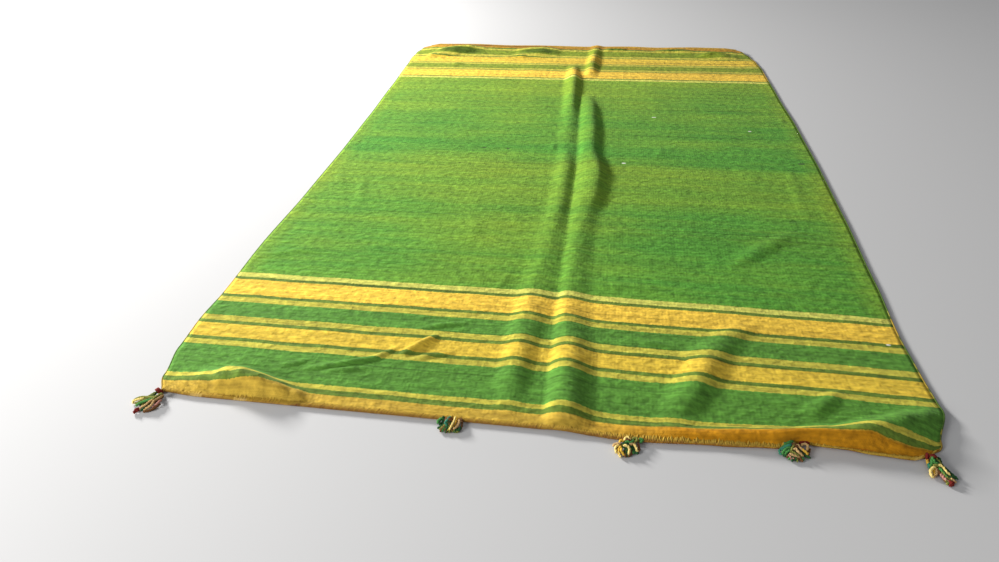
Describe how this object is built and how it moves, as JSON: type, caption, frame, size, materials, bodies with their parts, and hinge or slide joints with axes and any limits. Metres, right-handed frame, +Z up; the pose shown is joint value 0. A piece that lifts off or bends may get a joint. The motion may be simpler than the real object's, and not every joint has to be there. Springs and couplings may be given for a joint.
{
  "type": "blanket",
  "caption": "Hand-woven green wool blanket with yellow stripe borders, laid out flat with soft folds, and yarn tassels along its near hem.",
  "frame": {"origin": "on the floor below the middle of the blanket's box", "axes": "+Z up, +Y along the length from the tasselled hem to the far edge, +X to the right across the width"},
  "size_m": [1.53, 2.3387, 0.0392],
  "materials": {
    "striped_wool": "matt weft-faced wool weave, green with yellow stripe groups at both ends",
    "tassel_yarn": "matt plied wool yarn, green and yellow ends"
  },
  "bodies": {
    "root": {"woven_cloth": "striped_wool", "tassel_left_corner": "tassel_yarn", "tassel_left": "tassel_yarn", "tassel_middle": "tassel_yarn", "tassel_right": "tassel_yarn", "tassel_right_corner": "tassel_yarn"}
  },
  "joints": []
}
